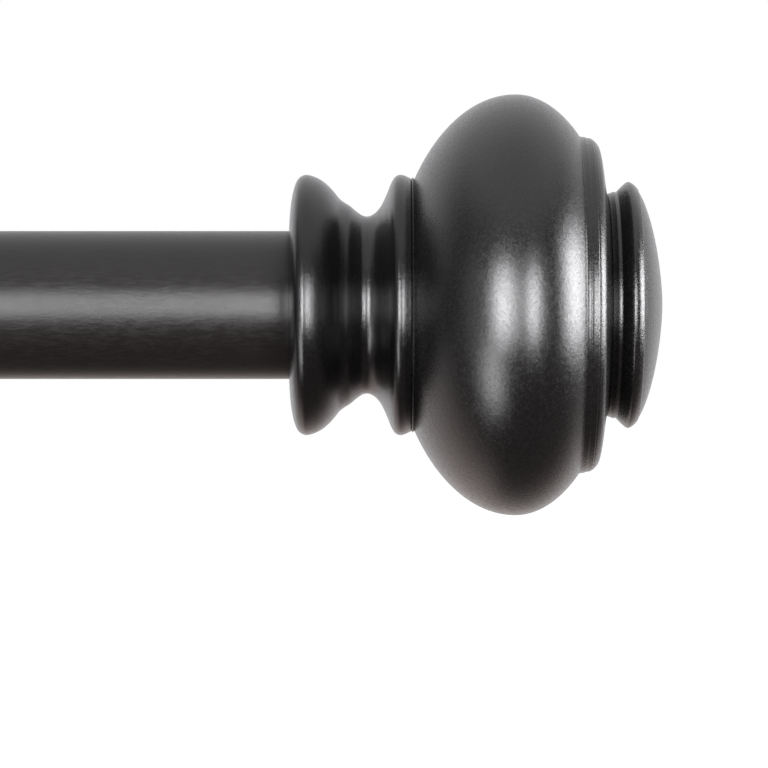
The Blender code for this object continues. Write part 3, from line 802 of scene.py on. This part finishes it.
# %% Socket
# A flared foot, a plain neck and a bead at the mouth. The boss below takes the lock screw.
def make_socket(side, middle):
    outline = corner((3.3, 11), (3.3, SOCKET_BASE_R), (4.5, SOCKET_BASE_R), 0.5)
    outline += arc((9.3, SOCKET_BASE_R), (4, SOCKET_BASE_R - SOCKET_R), 180, 270, 14)
    outline += arc((SOCKET_END - 2.5, SOCKET_R), (2.5, 1.2), 180, 20, 16)
    outline += corner((48.2, 8.9), (48.3, 8.6), (48.3, 7), 0.15)
    outline += corner((48.3, 7), (48.3, SOCKET_BORE), (47, SOCKET_BORE), 0.4)
    outline.append((3.3, SOCKET_BORE))
    shape = bmesh.new()
    spin_outline(shape, outline, middle, TO_ROOM, 96)
    socket = finished(f"{side}_socket", shape)
    axis = middle + TO_ROOM * ARM_LOCK_Y * MM
    boss = [(7.3, 0), (7.3, BOSS_R + 1.2)] + arc((9.9, BOSS_R + 1.5), (1.9, 1.5), 180, 270, 6)
    boss += corner((11, BOSS_R), (12.5, BOSS_R), (12.5, 3), 0.5) + [(12.5, 0)]
    joined(socket, turned("boss", boss, axis, DOWN, 64), "UNION")
    hole = [(0, 0), (0, LOCK_HOLE_R), (12.2, LOCK_HOLE_R), (12.8, LOCK_HOLE_R + 0.6), (12.8, 0)]
    joined(socket, turned("hole", hole, axis, DOWN, 48), "DIFFERENCE")
    body = f"{side}_wall_bracket"
    place_piece(socket, body, BRACKET_PAINT, "bracket_paint", f"arm_socket_{side}")


# %% Arm
# A round bar with a domed end and a flat filed on top, where the cradle sits.
def make_arm(side, middle):
    outline = [(10.3, 0), (10.3, 5.2)] + corner((10.3, 5.2), (11.1, ARM_R), (12, ARM_R), 0.3)
    outline += arc((99.5, 0), (3, ARM_R), 90, 0, 12)[:-1] + [(102.5, 0)]
    arm = turned(f"{side}_bar", outline, middle, TO_ROOM, 96)
    shape = bmesh.new()
    bmesh.ops.create_cube(shape, size=1)
    shape.transform(Matrix.Diagonal((24 * MM, 24 * MM, 8 * MM, 1)))
    bmesh.ops.translate(shape, vec=middle + Vector((0, -95, 8.4)) * MM, verts=shape.verts)
    joined(arm, finished("file", shape), "DIFFERENCE")
    below = middle + TO_ROOM * PROJECTION * MM
    hole = [(-6, 0), (-6, 2.3), (2.5, 2.3), (2.5, 0)]
    joined(arm, turned("hole", hole, below, DOWN, 32), "DIFFERENCE")
    soften(arm, 0.15)
    place_piece(arm, f"{side}_arm", BRACKET_PAINT, "bracket_paint", f"arm_{side}")


# %% Cradle
# A strip bent round the rod, open on top. It stands on a flat foot with the bolt through it.
def make_cup(side, middle):
    centre = middle + Vector((0, -PROJECTION, ROD_ABOVE)) * MM
    outer = CUP_R + CUP_WALL
    points = [(-outer, CUP_SIDE - 1.2)] + arc((0, 0), (outer, outer), 180, 245, 20)
    points += [(-CUP_FOOT, -outer), (CUP_FOOT, -outer)] + arc((0, 0), (outer, outer), 295, 360, 20)
    points += [(outer, CUP_SIDE - 1.2)]
    points += arc((CUP_R + CUP_WALL / 2, CUP_SIDE - 1.4), (1.4, 1.4), 0, 180, 10)
    points += arc((0, 0), (CUP_R, CUP_R), 360, 180, 64)
    points += arc((-CUP_R - CUP_WALL / 2, CUP_SIDE - 1.4), (1.4, 1.4), 0, 180, 10)
    shape = bmesh.new()
    width = CUP_WIDTH * MM
    verts = [shape.verts.new(centre + Vector((-width / 2, y * MM, z * MM))) for y, z in points]
    bmesh.ops.remove_doubles(shape, verts=shape.verts, dist=0.05 * MM)
    verts = [v for v in verts if v.is_valid]
    face = shape.faces.new(verts)
    made = bmesh.ops.extrude_face_region(shape, geom=[face])
    moved = [g for g in made["geom"] if isinstance(g, bmesh.types.BMVert)]
    bmesh.ops.translate(shape, vec=(width, 0, 0), verts=moved)
    bmesh.ops.recalc_face_normals(shape, faces=shape.faces)
    cup = finished(f"{side}_cradle", shape)
    boss = [(CUP_R + 1, 0), (CUP_R + 1, BOSS_R + 1)]
    boss += arc((CUP_R + CUP_WALL + 1.2, BOSS_R + 1), (1.2, 1), 180, 270, 6)
    boss += corner((18, BOSS_R), (18.8, BOSS_R), (18.8, 3), 0.4) + [(18.8, 0)]
    joined(cup, turned("boss", boss, centre, TO_ROOM, 64), "UNION")
    hole = [(CUP_R - 2, 0), (CUP_R - 2, LOCK_HOLE_R), (18.5, LOCK_HOLE_R)]
    hole += [(19.1, LOCK_HOLE_R + 0.6), (19.1, 0)]
    joined(cup, turned("hole", hole, centre, TO_ROOM, 48), "DIFFERENCE")
    floor_point = centre + DOWN * CUP_R * MM
    way = [(-2, 0), (-2, 4.3), (0.4, 4.3), (2.2, 2.3), (4, 2.3), (4, 0)]
    joined(cup, turned("way", way, floor_point, DOWN, 48), "DIFFERENCE")
    soften(cup, 0.35, 50)
    place_piece(cup, f"{side}_arm", BRACKET_PAINT, "bracket_paint", f"cup_{side}")
    outline = [(1.6, 0), (1.4, 0.8), (0.45, 2.1)] + corner((0.42, 3), (0.4, 3.6), (0.7, 3.5), 0.15)
    outline += [(2.0, BOLT_R)] + stretch_of(2.2, 8.6, BOLT_R, 0.12) + [(9, 1.5), (9, 0)]
    bolt = turned(f"{side}_bolt", outline, floor_point, DOWN, 48, 50)
    reshape(bolt, floor_point, DOWN, cross_rule(2.1, 0.5))
    reshape(bolt, floor_point, DOWN, thread_rule(2.4, 8.5, BOLT_R, BOLT_PITCH, 0.35))
    place_piece(bolt, f"{side}_arm", ZINC_STEEL, "zinc_steel", f"cup_bolt_{side}")


# %% Lock screws
# The knob has straight flutes for the fingers, a dished face and a plain hub.
SHANK_R = 2.5
SHANK_PITCH = 0.8
KNOB_R = 7.5
KNOB_END = 19.0
FLUTES = 24


def make_lock_screw(kind, side, tip, outwards):
    outline = [(0, 0), (0, SHANK_R - 0.5)] + stretch_of(0.5, 14.5, SHANK_R, SHANK_PITCH / 6)
    outline += [(15, SHANK_R - 0.5), (15, 0)]
    shank = turned(f"{side}_{kind}_screw", outline, tip, outwards, 40, 50)
    reshape(shank, tip, outwards, thread_rule(1.2, 14.4, SHANK_R, SHANK_PITCH, 0.42))
    place_piece(
        shank, f"{side}_{kind}_shank", ZINC_STEEL, "zinc_steel", f"{kind}_shank_{side}"
    )
    outline = [(KNOB_END - 0.7, 0), (KNOB_END - 0.65, 3.2), (KNOB_END - 0.1, 4.7)]
    outline += arc((KNOB_END - 1.9, KNOB_R - 1.9), (1.9, 1.9), 10, 80, 8)
    outline += stretch_of(KNOB_END - 2.6, 11.4, KNOB_R, -1.2)[1:]
    outline += [(11.1, KNOB_R - 0.5), (10.4, KNOB_R - 1.6)]
    outline += corner((10.2, 5.4), (10.0, 5.0), (9, 5.0), 0.3)
    outline += corner((9, 5.0), (8, 5.0), (8, 4), 0.3) + [(8, 2.8), (15.3, 2.8), (15.3, 0)]
    knob = turned(f"{side}_{kind}_grip", outline, tip, outwards, 144, 40)

    def flute(along, radius, angle):
        if radius < KNOB_R - 2.2:
            return radius
        groove = max(0.0, cos(angle * FLUTES)) ** 0.8
        return radius - 0.55 * groove * min(1, (radius - (KNOB_R - 2.2)) / 1.4)

    reshape(knob, tip, outwards, flute)
    place_piece(knob, f"{side}_{kind}_knob", KNOB_PAINT, "knob_paint", f"{kind}_knob_{side}")


# %% Make both brackets
for side, rod_r in (("right", OUTER_R), ("left", INNER_R)):
    low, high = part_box(f"wall_plate_{side}")
    middle = Vector(((low.x + high.x) / 2, high.y, (low.z + high.z) / 2))
    make_plate(side, middle)
    make_socket(side, middle)
    make_arm(side, middle)
    make_cup(side, middle)
    make_lock_screw(
        "arm_lock", side, middle + Vector((0, -ARM_LOCK_Y, -ARM_R - 0.3)) * MM, DOWN
    )
    centre = middle + Vector((0, -PROJECTION, ROD_ABOVE)) * MM
    make_lock_screw("rod_lock", side, centre + TO_ROOM * (rod_r + 0.3) * MM, TO_ROOM)
